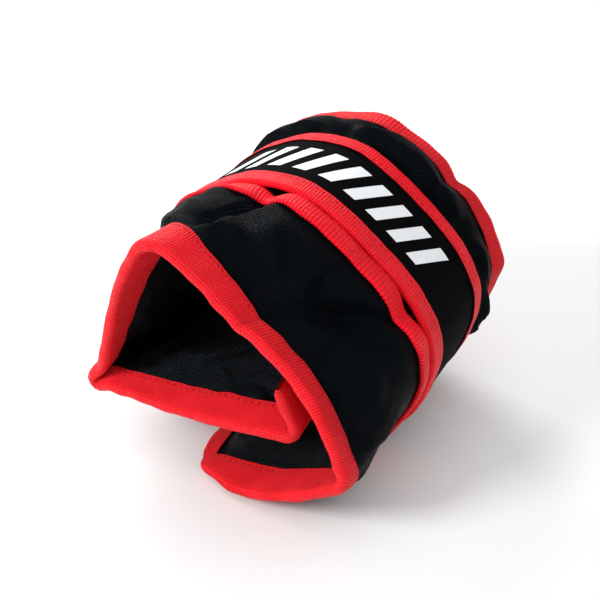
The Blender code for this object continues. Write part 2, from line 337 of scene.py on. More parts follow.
def under_strap(points, gap):
    """Cloth meets the strap from inside: held back where it would cut through, and drawn out
    to the strap over the top and the right wall, where the strap presses on the band."""
    off = STRAP_LINE - ROLL_CENTRE
    angle = np.unwrap(np.arctan2(off[:, 0], off[:, 1]))
    radius = np.linalg.norm(off, axis=1)
    order = np.argsort(angle)
    flat = points[..., [0, 2]] - ROLL_CENTRE
    theirs = np.arctan2(flat[..., 0], flat[..., 1])
    theirs = np.where(theirs < angle.min(), theirs + 2 * math.pi, theirs)
    strap_radius = np.interp(theirs, angle[order], radius[order], left=np.inf, right=np.inf)
    limit = strap_radius - gap
    mine = np.linalg.norm(flat, axis=-1)
    round_way = np.where(theirs > math.pi, theirs - 2 * math.pi, theirs)
    pressed = smooth((round_way - PRESSED[0]) / PRESSED_FADE)
    pressed = pressed * smooth((PRESSED[1] - round_way) / PRESSED_FADE)
    off_middle = np.abs(points[..., 1] - STRAP_Y)
    pressed = pressed * smooth((PRESS_REACH - off_middle) / PRESS_FADE)
    side = off_middle - STRAP_HALF_WIDTH
    limit = limit + BESIDE_STRAP * smooth((side - BESIDE_FROM) / BESIDE_FADE)
    wanted = mine + np.clip(limit - mine, 0, MOST_DRAWN) * pressed
    limit = limit + FREE_RISE * smooth((side - FREE_FROM) / FREE_FADE)
    scale = np.minimum(wanted, limit) / np.maximum(mine, 1e-6)
    held = points.copy()
    held[..., 0] = ROLL_CENTRE[0] + flat[..., 0] * scale
    held[..., 2] = ROLL_CENTRE[1] + flat[..., 1] * scale
    return held


# ---------- meshes
def blender_place(points):
    """Section millimetres to the frame's metres."""
    moved = np.array(points, float).reshape(-1, 3)
    moved[:, 0] -= CENTRE_X
    return moved * MM


class Builder:
    """Collects sheets with thickness, then makes one mesh object of them."""

    def __init__(self):
        self.points, self.normals, self.cloth, self.faces = [], [], [], []
        self.count = 0

    def add_points(self, points, normals, cloth):
        shape = points.shape[:-1]
        index = np.arange(self.count, self.count + points.size // 3).reshape(shape)
        self.points.append(points.reshape(-1, 3))
        self.normals.append(normals.reshape(-1, 3))
        self.cloth.append(cloth.reshape(-1, 3))
        self.count += index.size
        return index

    def add_quads(self, a, b, c, d):
        self.faces.append(np.stack([a.ravel(), b.ravel(), c.ravel(), d.ravel()], axis=1))

    def sheet(self, layer):
        """A sheet with thickness: outer face, inner face, and its four edges."""
        normals = layer["normals"]
        cloth = np.zeros(normals.shape)
        cloth[..., 0], cloth[..., 1] = layer["u"], layer["v"]
        back = cloth.copy()
        back[..., 2] = 1
        a = self.add_points(layer["outer"], normals, cloth)
        b = self.add_points(layer["inner"], -normals, back)
        self.add_quads(a[:-1, :-1], a[1:, :-1], a[1:, 1:], a[:-1, 1:])
        self.add_quads(b[:-1, :-1], b[:-1, 1:], b[1:, 1:], b[1:, :-1])
        self.add_quads(a[:-1, 0], b[:-1, 0], b[1:, 0], a[1:, 0])
        self.add_quads(a[:-1, -1], a[1:, -1], b[1:, -1], b[:-1, -1])
        self.add_quads(a[0, :-1], a[0, 1:], b[0, 1:], b[0, :-1])
        self.add_quads(a[-1, :-1], b[-1, :-1], b[-1, 1:], a[-1, 1:])

    def make(self, name, finish):
        points = np.vstack(self.points)
        faces = np.vstack(self.faces)
        mesh = bpy.data.meshes.new(name)
        mesh.from_pydata(blender_place(points).tolist(), [], faces.tolist())
        mesh.polygons.foreach_set("use_smooth", [True] * len(faces))
        field = mesh.attributes.new("cloth", "FLOAT_VECTOR", "POINT")
        field.data.foreach_set("vector", (np.vstack(self.cloth) * MM).ravel())
        mesh.normals_split_custom_set_from_vertices(unit(np.vstack(self.normals)).tolist())
        made = bpy.data.objects.new(name, mesh)
        bpy.context.scene.collection.objects.link(made)
        made.data.materials.append(finish)
        return made


def sheet_layer(outer, inner, normals, us, ys):
    """A sheet's two faces, its normals and its own coordinates, ready to be cut into pieces."""
    return {"outer": outer, "inner": inner, "normals": normals, "u": us[:, None], "v": ys[None, :]}


LEAF_STEPS, ARC_STEPS = 9, 9  # rows on each leaf of a folded tape, and round its fold


def folded_section(leaf, half):
    """A tape folded in half: for each row, how far in from the edge, its turn (0 to pi), and
    its place across the tape."""
    down = np.linspace(leaf, 0, LEAF_STEPS)[:-1]
    turn = np.linspace(0, math.pi, ARC_STEPS)
    inwards = np.concatenate([down, 0 * turn, down[::-1]])
    turns = np.concatenate([0 * down, turn, 0 * down + math.pi])
    steps = np.hypot(np.diff(inwards), np.diff(turns) * half)
    arc = np.concatenate([[0], np.cumsum(steps)])
    return inwards, turns, arc - arc[-1] / 2


def noise_grid(points, scale, seed):
    """Smooth noise at each point, between about -1 and 1."""
    flat = points.reshape(-1, 3) / scale + seed
    return np.array([noise.noise(Vector(p)) for p in flat.tolist()]).reshape(points.shape[:-1])


TAPE_ROWS = 13  # rows of the cloth that a folded tape is laid on
TAPE_REACH = 1.08  # how far those rows go, in widths of the tape
TAPE_STRAY = 0.06  # how unevenly the tape's edge runs, as a share of its width
END_PINCH = 3.0  # a tape's open ends are flattened over this length
RIM_END_PINCH, CROSS_END_PINCH = 0.3, 0.5  # and its fold's height is down to this share
FATNESS = 0.2  # how much the fold's fullness varies
RIB_WEAR = (0.75, 0.15, 1.3)  # usual, lowest and highest share of the ribs' height
# How far a tape's leaves lift and its edge sways, in each kind of tape
RIM_WAVES, END_WAVES, BAND_WAVES, STRAP_WAVES = (0.35, 0.6), (0.2, 0.4), (0.5, 0.9), (0.2, 0.35)


def flipped(layer):
    """The same layer with its rows in the other order, so that its faces turn over."""
    return {k: part if k == "u" else part[:, ::-1] for k, part in layer.items()}


def along_rows(grid, rows, inwards):
    """A grid's values read, line by line, at distances that differ from line to line."""
    place = np.clip(inwards / (rows[1] - rows[0]), 0, len(rows) - 1 - 0.001)
    low = place.astype(int)
    share = (place - low)[..., None]
    line = np.arange(len(grid))[:, None]
    return grid[line, low] * (1 - share) + grid[line, low + 1] * share


def tape_on(points, normals, rows, tape, us, ribs, waves, widths):
    """Folds a tape over the edge of a grid whose second axis holds the rows, edge first."""
    leaf, half, thick = tape
    inwards, turns, arc = folded_section(leaf, half)
    lift_size, edge_size, pinch = waves
    rim = unit(points[:, 0] - points[:, 1])[:, None]
    irregular = 1 + TAPE_STRAY * noise_grid(points[:, :1], 6, 4.4)
    on_cover = (turns < math.pi / 2)[None, :]
    reach = inwards[None, :] * np.where(on_cover, widths[0][:, None], widths[1][:, None])
    reach = reach * irregular
    base = along_rows(points, rows, reach)
    out = unit(along_rows(normals, rows, reach))
    direction = out * np.cos(turns)[None, :, None] + rim * np.sin(turns)[None, :, None]
    inner_share = (inwards / leaf)[None, :]
    lift = lift_size * noise_grid(base, 9, 3.1) * inner_share
    sway = edge_size * noise_grid(base[:, :1], 8, 5.7) * (1 - 0.6 * inner_share)
    fat = half * (1 + FATNESS * noise_grid(base[:, :1], 7, 9.3)) * pinch[:, None]
    centre = base + direction * (fat + lift)[..., None] + rim * sway[..., None]
    pitch, height = ribs
    usual, lowest, highest = RIB_WEAR
    rib = height * (0.5 - 0.5 * np.cos(2 * math.pi * us / pitch))[:, None]
    rib = rib * np.clip(usual + noise_grid(base, 6, 1.9), lowest, highest)
    outer = centre + direction * (thick / 2 + rib)[..., None]
    return sheet_layer(outer, centre - direction * (thick / 2), direction, us, arc)


def pinched(along, share):
    """How much of its height a tape's fold keeps: the share at its open ends, and 1 between."""
    return share + (1 - share) * ramp(np.minimum(along - along[0], along[-1] - along) / END_PINCH)


def rim_tape(surface, us, edge, inward, tape, ribs, waves, widths=None, ends=False):
    """Tape along the edge y = edge of a surface; the sheet lies on the side inward (1 or -1)."""
    rows = np.linspace(0, tape[0] * TAPE_REACH, TAPE_ROWS)
    grids = surface(us, (edge + inward * rows)[::inward])
    points, normals = (grid[:, ::inward] for grid in grids)
    pinch = pinched(us, RIM_END_PINCH) if ends else np.ones(len(us))
    widths = np.ones((2, len(us))) if widths is None else widths
    made = tape_on(points, normals, rows, tape, us, ribs, (*waves, pinch), widths)
    return flipped(made) if inward > 0 else made


def end_tape(at_end, inward, ys, tape, ribs, share):
    """Tape across a short end of the strip, at u = at_end."""
    rows = np.linspace(0, tape[0] * TAPE_REACH, TAPE_ROWS)
    grids = strip_middle((at_end + inward * rows)[::inward], ys)
    points, normals = (grid[::inward].transpose(1, 0, 2) for grid in grids)
    waves = (*END_WAVES, pinched(ys, CROSS_END_PINCH))
    made = tape_on(points, normals, rows, tape, ys, ribs, waves, np.full((2, len(ys)), share))
    return made if inward > 0 else flipped(made)


def grid_surface(us_grid, ys_grid, points):
    """A surface read between the points of a grid."""
    def read(us, ys):
        i = np.clip(np.searchsorted(us_grid, us, side="right") - 1, 0, len(us_grid) - 2)
        j = np.clip(np.searchsorted(ys_grid, ys, side="right") - 1, 0, len(ys_grid) - 2)
        a = ((us - us_grid[i]) / (us_grid[i + 1] - us_grid[i]))[:, None, None]
        b = ((ys - ys_grid[j]) / (ys_grid[j + 1] - ys_grid[j]))[None, :, None]
        low = points[i][:, j] * (1 - a) + points[i + 1][:, j] * a
        high = points[i][:, j + 1] * (1 - a) + points[i + 1][:, j + 1] * a
        found = low * (1 - b) + high * b
        return found, grid_normals(found)
    return read


def blurred(values, axis, times):
    """A grid's values averaged with their neighbours along an axis, a number of times."""
    values = np.moveaxis(values, axis, 0)
    for _ in range(times):
        wide = np.concatenate([values[:1], values, values[-1:]])
        values = (wide[:-2] + 2 * wide[1:-1] + wide[2:]) / 4
    return np.moveaxis(values, 0, axis)


# ---------- how pieces move
BEND_REACH = 8.0  # points this far on each side of a hinge are worked out as a bend's ends, but nothing uses them


class Region:
    """A stretch of the strip or strap that is one piece, and the CAD bodies it lies on; a piece
    on one body follows it, a piece on a fold is not attached. hinge holds its corner and the
    corners before and after; skew is how far the fold slants."""

    def __init__(self, name, low, high, bodies, hinge=None, skew=0.0):
        self.name, self.low, self.high = name, low, high
        self.bodies, self.hinge, self.skew = bodies, hinge, skew
        self.replaced = bodies[-1]

    def attach(self, piece):
        if len(self.bodies) == 1:
            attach(piece, self.bodies[0])
            return
        corner, before, after = (np.array(p, float) for p in self.hinge)
        into, away = unit(corner - before), unit(after - corner)
        start = corner - into * BEND_REACH
        end = corner + away * BEND_REACH
        tilt = self.skew * np.linalg.norm(end - start) / 2
        start = blender_place([(start[0], -tilt, start[1])])[0]
        end = blender_place([(end[0], tilt, end[1])])[0]
        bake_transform(piece)


def columns(regions, step):
    """u of each column, and each region's own slice; neighbours share the column between."""
    us, slices = [], []
    for region in regions:
        count = max(int((region.high - region.low) / step), 4) + 1
        part = np.linspace(region.low, region.high, count)
        begin = len(us) - 1 if us else 0
        us.extend(part if not us else part[1:])
        slices.append(slice(begin, len(us)))
    return np.array(us), slices


def clipped(regions, first, last):
    """The same regions between two ends; cloth that stops short of the strip's own ends."""
    made = []
    for region in regions:
        low, high = max(region.low, first), min(region.high, last)
        made.append(Region(region.name, low, high, region.bodies, region.hinge, region.skew))
    return made


FOLD_SKEWS = [0, 0, 0.25, -0.2, 0.05]  # of the folds between the strip's bodies
STRAP_BODIES = ["strap_root", "strap_left", "strap_top", "strap_right", "strap_tip"]
# The strap's hinges in the section, between a point on the outer flap and the strap's tip
STRAP_BEFORE = (-3.0, 4.2)
STRAP_HINGES = [(-15.5, 4.6), (-62, 31), (-38.5, 95), (48, 90.5), (67.5, 17)]
STRAP_AFTER = (49, 4.2)


def strip_regions():
    """One region round each fold, and one at each end."""
    middles = (CORNER_U[:-1] + CORNER_U[1:]) / 2
    made = [Region("tail_end", 0, middles[0], BODIES[:1])]
    for k, skew in enumerate(FOLD_SKEWS):
        hinge = (MIDDLE[k + 1], MIDDLE[k], MIDDLE[k + 2])
        name = f"{BODIES[k]}_fold"
        made.append(Region(name, middles[k], middles[k + 1], BODIES[k:k + 2], hinge, skew))
    made.append(Region("outer_flap_end", middles[-1], STRIP_LENGTH, BODIES[-1:]))
    return made


def strap_regions():
    """One region round each of the strap's hinges, and one at its tip."""
    corners = [*STRAP_HINGES, STRAP_AFTER]
    at = [strap_u_near(*corner) for corner in corners]
    stops = [0] + [(before + after) / 2 for before, after in zip(at, at[1:])]
    names = ["root", "left", "top", "right", "tip_fold"]
    bodies = [BODIES[-1], *STRAP_BODIES]
    line = [STRAP_BEFORE, *corners]
    made = []
    for k, name in enumerate(names):
        hinge = (line[k + 1], line[k], line[k + 2])
        made.append(Region(name, stops[k], stops[k + 1], bodies[k:k + 2], hinge))
    made.append(Region("tip_end", stops[-1], STRAP_LENGTH, STRAP_BODIES[-1:]))
    return made


STRIP_REGIONS = strip_regions()
STRAP_REGIONS = strap_regions()


def one_sheet(layer, name, finish):
    builder = Builder()
    builder.sheet(layer)
    return builder.make(name, finish)


def make_pieces(layer, slices, regions, name, finish, cad_suffix):
    """One piece for each region, each standing for its body's own CAD node."""
    for region, part in zip(regions, slices):
        cut = {k: layer[k][part] for k in ("outer", "inner", "normals", "u")}
        piece = one_sheet({**cut, "v": layer["v"]}, f"{name}_{region.name}", finish)
        region.attach(piece)
        node = f"{region.replaced}_{cad_suffix}"
        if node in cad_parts:
            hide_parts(node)


# ---------- finishes
def principled(name, colour, roughness, **sockets):
    made = bpy.data.materials.new(name)
    made.use_nodes = True
    shader = made.node_tree.nodes["Principled BSDF"]
    shader.inputs["Base Color"].default_value = (*colour, 1)
    shader.inputs["Roughness"].default_value = roughness
    for socket, value in sockets.items():
        shader.inputs[socket.replace("_", " ")].default_value = value
    made.diffuse_color = (*colour, 1)
    return made


class Nodes:
    """Short ways to add nodes to a material."""

    def __init__(self, finish):
        self.tree = finish.node_tree
        self.shader = self.tree.nodes["Principled BSDF"]

    def add(self, kind, **settings):
        node = self.tree.nodes.new(kind)
        for name, value in settings.items():
            setattr(node, name, value)
        return node

    def link(self, a, b):
        self.tree.links.new(a, b)

    def math(self, operation, a, b=None):
        node = self.add("ShaderNodeMath", operation=operation)
        for socket, value in ((0, a), (1, b)):
            if value is None:
                continue
            if isinstance(value, (int, float)):
                node.inputs[socket].default_value = value
            else:
                self.link(value, node.inputs[socket])
        return node.outputs[0]

    def cloth(self):
        """u and v of the cloth, in metres."""
        field = self.add("ShaderNodeAttribute", attribute_name="cloth")
        split = self.add("ShaderNodeSeparateXYZ")
        self.link(field.outputs["Vector"], split.inputs[0])
        return field.outputs["Vector"], split.outputs[0], split.outputs[1]

    def wave(self, value, pitch, phase=0.0):
        turned = self.math("MULTIPLY_ADD", value, 2 * math.pi / pitch)
        turned.node.inputs[2].default_value = phase
        return self.math("SINE", turned)

    def noise(self, vector, scale, detail=2.0):
        node = self.add("ShaderNodeTexNoise")
        node.inputs["Scale"].default_value = scale
        node.inputs["Detail"].default_value = detail
        self.link(vector, node.inputs["Vector"])
        return node.outputs[0]

    def remap(self, value, low, high, new_low, new_high):
        node = self.add("ShaderNodeMapRange")
        self.link(value, node.inputs["Value"])
        limits = {"From Min": low, "From Max": high, "To Min": new_low, "To Max": new_high}
        for socket, limit in limits.items():
            node.inputs[socket].default_value = limit
        return node.outputs["Result"]

    def colours(self, factor, low, high):
        node = self.add("ShaderNodeValToRGB")
        node.color_ramp.elements[0].color = (*low, 1)
        node.color_ramp.elements[1].color = (*high, 1)
        self.link(factor, node.inputs["Fac"])
        self.link(node.outputs["Color"], self.shader.inputs["Base Color"])

    def bump(self, height, distance):
        node = self.add("ShaderNodeBump")
        node.inputs["Distance"].default_value = distance
        self.link(height, node.inputs["Height"])
        self.link(node.outputs["Normal"], self.shader.inputs["Normal"])

    def gloss(self, vector, scale, low, high):
        """Roughness that changes slowly from place to place."""
        rough = self.remap(self.noise(vector, scale), 0.3, 0.7, low, high)
        self.link(rough, self.shader.inputs["Roughness"])


# Finishes work in metres, as the cloth's own coordinates reach the shader
STITCH_WIDTH, STITCH_PITCH = 0.0004, 0.0026
RIM_STITCH, STRAP_STITCH = 0.0132, 0.0066  # each row's place across the tape, from its middle
WEFT_SHARE = 0.92  # the weft's pitch as a share of the warp's
BEAD_SHARE = 0.8  # and the beads' along a rib as a share of the ribs'


def woven(name, dark, light, pitch, depth, roughness, **sockets):
    """Plain weave: raised crossings on a chequered grid, painted lighter on top as a painted
    highlight, with slow changes of tone and gloss.
    """
    finish = principled(name, dark, roughness, **sockets)
    n = Nodes(finish)
    vector, u, v = n.cloth()
    crossing = n.math("MULTIPLY", n.wave(u, pitch), n.wave(v, pitch * WEFT_SHARE))
    fibre = n.noise(vector, 2600, 3)
    height = n.math("ADD", crossing, n.math("MULTIPLY", fibre, 0.3))
    patches = n.math("MULTIPLY", n.noise(vector, 60), 0.5)
    # the raised crossings are painted lighter: a painted highlight on the weave; the patches are the
    # cloth's own uneven tone
    painted_light_and_tone = n.math("ADD", n.remap(crossing, -1, 1, 0, 0.6), patches)
    n.colours(painted_light_and_tone, dark, light)
    n.gloss(vector, 90, roughness - 0.08, roughness + 0.1)
    n.bump(height, depth)
    return finish


def stitches(n, u, v, at):
    """A row of stitches along the cloth at v = at on both leaves: its groove and its thread."""
    away = n.math("ABSOLUTE", n.math("SUBTRACT", n.math("ABSOLUTE", v), at))
    groove = n.remap(away, STITCH_WIDTH / 2, STITCH_WIDTH, 1, 0)
    thread = n.math("MULTIPLY", groove, n.remap(n.wave(u, STITCH_PITCH), -0.6, 0, 0, 1))
    return groove, thread


def ribbed(name, dark, light, pitch, depth, roughness, stitch_at, **sockets):
    """Grosgrain: ribs across the tape, painted lighter on their tops as a painted highlight and
    darker in the grooves as painted shade, with beads where threads cross.
    """
    finish = principled(name, dark, roughness, **sockets)
    n = Nodes(finish)
    vector, u, v = n.cloth()
    ribs = n.wave(u, pitch, -math.pi / 2)
    beads = n.math("MULTIPLY", n.wave(v, pitch * BEAD_SHARE), ribs)
    fibre = n.noise(vector, 2200, 3)
    height = n.math("ADD", n.math("ADD", beads, ribs), fibre)
    groove, thread = stitches(n, u, v, stitch_at)
    sewn = n.math("SUBTRACT", n.math("MULTIPLY", thread, 8.0), n.math("MULTIPLY", groove, 5.0))
    height = n.math("ADD", height, sewn)
    patches = n.remap(n.noise(vector, 70), 0.3, 0.7, 0.1, 0.5)
    # rib tops painted lighter and grooves darker: painted highlight and painted shade; the patches
    # are the tape's own uneven tone
    painted_light_and_tone = n.math("ADD", n.remap(ribs, -1, 1, 0.0, 0.45), patches)
    # beads painted lighter on top and darker between: painted highlight and painted shade
    painted_light_and_tone = n.math("ADD", painted_light_and_tone, n.remap(beads, -1, 1, -0.1, 0.15))
    # stitch groove painted darker as painted shade, the raised thread painted lighter as a painted
    # highlight
    painted_light_and_tone = n.math("ADD", painted_light_and_tone, n.math("MULTIPLY", sewn, 0.12))
    n.colours(painted_light_and_tone, dark, light)
    n.gloss(vector, 160, roughness - 0.07, roughness + 0.07)
    n.bump(height, depth)
    return finish


def napped(name, dark, light, depth, roughness, **sockets):
    """Short pile or felted face: fine noise in tone and height."""
    finish = principled(name, dark, roughness, **sockets)
    n = Nodes(finish)
    vector = n.cloth()[0]
    pile = n.noise(vector, 1500, 4)
    patches = n.math("MULTIPLY", n.noise(vector, 50), 0.4)
    n.colours(n.math("ADD", n.math("MULTIPLY", pile, 0.6), patches), dark, light)
    n.bump(pile, depth)
    return finish


RIM_PITCH = STRAP_PITCH = 1.1  # millimetres from rib to rib
WEAVE_PITCH = 0.0010
COOL_TINT = (0.7, 0.88, 1, 1)
RED_TINT = (1, 0.7, 0.7, 1)
RED_SHEEN = (1, 0.4, 0.4, 1)

COVER = woven(
    "oxford_cover", (0.0001, 0.0002, 0.0004), (0.0012, 0.002, 0.0032), WEAVE_PITCH, 0.00016, 0.50,
    Specular_IOR_Level=0.05, Specular_Tint=COOL_TINT,
)
LINING = woven(
    "nylon_lining", (0.0001, 0.0002, 0.0003), (0.001, 0.0017, 0.0026), WEAVE_PITCH, 0.00014, 0.42,
    Specular_IOR_Level=0.15, Specular_Tint=COOL_TINT,
)
TAPE = ribbed(
    "binding_tape", (0.6, 0.0, 0.001), (1.0, 0.01, 0.026), RIM_PITCH * MM, 0.00012, 0.5,
    RIM_STITCH, Specular_IOR_Level=0.25, Specular_Tint=RED_TINT, Sheen_Weight=0.12,
    Sheen_Roughness=0.35, Sheen_Tint=RED_SHEEN,
)
STRAP_TAPE_FINISH = ribbed(
    "strap_binding", (0.55, 0.0, 0.002), (0.95, 0.008, 0.025), STRAP_PITCH * MM, 0.00008, 0.48,
    STRAP_STITCH, Specular_IOR_Level=0.2, Specular_Tint=RED_TINT, Sheen_Weight=0.03,
    Sheen_Roughness=0.35, Sheen_Tint=RED_SHEEN,
)
WEB = napped(
    "strap_web", (0.0004, 0.0005, 0.0007), (0.002, 0.0022, 0.0028), 0.00006, 0.8,
    Specular_IOR_Level=0.03,
)
LOOP = napped(
    "loop_pile", (0.002, 0.002, 0.0025), (0.008, 0.008, 0.010), 0.0002, 0.9,
    Specular_IOR_Level=0.2,
)
SAND_BAG = napped("sand_bag", (0.45, 0.40, 0.32), (0.6, 0.55, 0.45), 0.0002, 0.8)
HOOKS = napped("hook_patch", (0.004, 0.004, 0.005), (0.012, 0.012, 0.014), 0.0003, 0.8)
PRINT = napped(
    "strap_print", (0.75, 0.78, 0.80), (0.90, 0.92, 0.94), 0.00003, 0.45,
    Specular_IOR_Level=0.4,
)


# ---------- the strip
CLOTH_STEP = 1.5
CLOTH_REGIONS = clipped(STRIP_REGIONS, END_PINCH, STRIP_LENGTH - END_PINCH)
US, SLICES = columns(CLOTH_REGIONS, CLOTH_STEP)
YS = np.linspace(-57.5, 57.5, 78)
RIB_STEP = 0.25
TAPE_US, TAPE_SLICES = columns(STRIP_REGIONS, RIB_STEP)
RIBS = (RIM_PITCH, 0.17)  # pitch and height
TAPE_SIZE = (TAPE_WIDTH, TAPE_HALF, TAPE_THICK)
COVER_THICK = 0.9
UNDER_STRAP_GAP = 3.4
COVER_LOWEST = 1.9  # above the ground, where the tape round the cover's edge lies
TAPE_LOWEST, TAPE_INNER_LOWEST = 0.1, 0.6
CRUMPLE, CRUMPLE_SIZE = 0.5, 11
WRINKLE = 2.6
WRINKLE_FROM, WRINKLE_REACH, WRINKLE_SLANT = 15.0, 18.0, 0.8
WRINKLE_PITCH, WRINKLE_LENGTH = 6.0, 26.0
SEAM_DIPS = ((3, 5.0, 2.8), (4, 3.5, 3.6))  # corner, depth, half length
TAIL_TAPE_Y = (-46, 46)
FLAP_TAPE_Y = (-55.5, 49)
SEWN_WITHIN = 0.05  # cloth no further than this from the seams' height is sewn down
SETTLE_FRAMES = 20
PRESSURE = 2.2
SPARE_LENGTH = 0.035  # as a share of the cloth's own
MOST_MOVED = 1.6


def settle(points, out, sewn_down):
    """Blows the cloth up a little between its seams, and gives it spare length to wrinkle."""
    rows, cols = points.shape[:2]
    mesh = bpy.data.meshes.new("settling")
    index = np.arange(rows * cols).reshape(rows, cols)
    quads = np.stack([index[:-1, :-1], index[1:, :-1], index[1:, 1:], index[:-1, 1:]], -1)
    faces = quads.reshape(-1, 4)
    if out < 0:
        faces = faces[:, ::-1]
    mesh.from_pydata(blender_place(points).tolist(), [], faces.tolist())
    cloth_object = bpy.data.objects.new("settling", mesh)
    bpy.context.scene.collection.objects.link(cloth_object)
    group = cloth_object.vertex_groups.new(name="pins")
    group.add(np.flatnonzero(sewn_down).tolist(), 1.0, "REPLACE")
    sim = cloth_object.modifiers.new("cloth", "CLOTH")
    s = sim.settings
    s.quality, s.mass, s.air_damping = 6, 0.2, 2
    s.tension_stiffness = s.compression_stiffness = 12
    s.shear_stiffness, s.bending_stiffness = 6, 0.15
    s.use_pressure, s.uniform_pressure_force = True, PRESSURE
    s.vertex_group_mass, s.pin_stiffness = "pins", 1
    s.shrink_min = -SPARE_LENGTH
    s.effector_weights.gravity = 0
    sim.collision_settings.use_collision = False
    sim.point_cache.frame_start, sim.point_cache.frame_end = 1, SETTLE_FRAMES
    scene = bpy.context.scene
    for frame_number in range(1, SETTLE_FRAMES + 1):
        scene.frame_set(frame_number)
    view = bpy.context.evaluated_depsgraph_get()
    settled = cloth_object.evaluated_get(view).to_mesh()
    found = np.zeros(len(settled.vertices) * 3)
    settled.vertices.foreach_get("co", found)
    bpy.data.objects.remove(cloth_object)
    scene.frame_set(1)
    found = found.reshape(points.shape) / MM
    found[..., 0] += CENTRE_X
    moved = found - points
    size = np.linalg.norm(moved, axis=-1, keepdims=True)
    return points + moved * np.minimum(1, MOST_MOVED / np.maximum(size, 1e-9))


def on_ground(points, height):
    """The same points, none of them lower than the height."""
    held = points.copy()
    held[..., 2] = np.maximum(held[..., 2], height)
    return held


def rim_wrinkles(side):
    """Slanted creases that start at the stitching beside each rim and die out inwards."""
    inward = RIM_Y - np.abs(YS)
    fade = np.exp(-((inward - WRINKLE_FROM) / WRINKLE_REACH) ** 2)
    skewed = US[:, None] + WRINKLE_SLANT * inward[None, :]
    across_strip = np.broadcast_to(YS / WRINKLE_LENGTH, skewed.shape)
    place = np.stack([skewed / WRINKLE_PITCH, across_strip, np.full(skewed.shape, side)], -1)
    return WRINKLE * noise_grid(place, 1.0, 2.6) * fade[None, :]


def pocket_skin(side, swells, shares):
    """The cover (side 1) or the lining (side -1) of the whole strip."""
    middle, normals = strip_middle(US, YS)
    swelling = pocket_heights(US, YS, swells, shares)
    heights = blurred(blurred(swelling, 0, 2), 1, 2)
    points = middle + normals * (side * heights)[..., None]
    points = settle(points, side, swelling < SEAM_HALF + SEWN_WITHIN)
    crumple = noise_grid(points, CRUMPLE_SIZE, 7.7 * side) * CRUMPLE + rim_wrinkles(side)
    points = points + normals * (crumple * np.clip(heights - SEAM_HALF, 0, 1))[..., None]
    return blurred(blurred(points, 0, 1), 1, 1)


def seam_dips():
    """The narrow dips of the cover along the top panel's two seams, where thread pulls it in."""
    seams = np.stack([CORNER_U + across(SEAM_STRAY, y) for y in YS], axis=1)
    depth = 0
    for k, deep, reach in SEAM_DIPS:
        depth = depth + deep * np.exp(-((US[:, None] - seams[k]) / reach) ** 2)
    return depth * ramp((RIM_Y - TAPE_WIDTH - np.abs(YS)) / SLOPE_Y)


def build_covers():
    points = pocket_skin(1, SWELL_OUT, COVER_SHARES)
    points = under_strap(points, UNDER_STRAP_GAP)
    points = points - grid_normals(points) * seam_dips()[..., None]
    points = on_ground(points, COVER_LOWEST)
    normals = grid_normals(points)
    layer = sheet_layer(points, points - normals * COVER_THICK, normals, US, YS)
    make_pieces(layer, SLICES, CLOTH_REGIONS, "cover", COVER, "cover")
    return points


def build_linings():
    points = pocket_skin(-1, SWELL_IN, LINING_SHARES)
    normals = grid_normals(points)
    layer = sheet_layer(points + normals * COVER_THICK, points, normals, US, YS)
    make_pieces(layer, SLICES, CLOTH_REGIONS, "lining", LINING, "lining")
    return points


def laid(layer):
    """A tape's layer, pressed flat where it lies on the ground."""
    outer = on_ground(layer["outer"], TAPE_LOWEST)
    return {**layer, "outer": outer, "inner": on_ground(layer["inner"], TAPE_INNER_LOWEST)}


def build_rims():
    """The folded tapes along both long edges of the strip."""
    for word, edge, inward in (("near", -RIM_Y, 1), ("far", RIM_Y, -1)):
        widths = [rim_share(TAPE_US, word, shares) for shares in (COVER_SHARES, LINING_SHARES)]
        layer = rim_tape(strip_middle, TAPE_US, edge, inward, TAPE_SIZE, RIBS, RIM_WAVES,
                         widths, ends=True)
        make_pieces(laid(layer), TAPE_SLICES, STRIP_REGIONS, f"{word}_binding", TAPE,
                    f"{word}_binding")


def build_ends():
    """The folded tapes across the strip's two ends."""
    ends = ((0, 1, "tail", STRIP_REGIONS[0], 1.0, TAIL_TAPE_Y),
            (STRIP_LENGTH, -1, "outer_flap", STRIP_REGIONS[-1], END_SHARE, FLAP_TAPE_Y))
    for at_end, inward, body, region, share, reach in ends:
        ys = np.arange(*reach, RIB_STEP)
        layer = laid(end_tape(at_end, inward, ys, TAPE_SIZE, RIBS, share))
        piece = one_sheet(layer, f"{body}_end_tape", TAPE)
        region.attach(piece)
        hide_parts(f"{body}_end_binding")


BAND_Y = (-21.5, 26.5)
BAND_TAPE = 6.5
BAND_FROM, BAND_TO = CORNER_U[1] + 6, STRIP_LENGTH - TAPE_WIDTH - 1
BAND_LOW, BAND_HIGH = 0.25, 1.4  # the band's two faces, above the cover
BAND_MIDDLE, BAND_MIDDLE_LOWEST = 1.15, 1.2  # the sheet that its tape folds over
BAND_LOWEST, BAND_INNER_LOWEST = 0.1, 0.2
UNDER_TAPE = 0.5  # how far the band runs on under its tape
BAND_STEP, BAND_ROWS = 1.2, 24
NARROW_RIB_STEP = 0.5
NARROW_RIBS = (STRAP_PITCH, 0.1)
BAND_TAPE_SIZE = (BAND_TAPE, 0.6, 0.6)  # leaf, half gap and thickness
STRAP_TAPE_SIZE = (STRAP_TAPE, 1.1, 0.6)


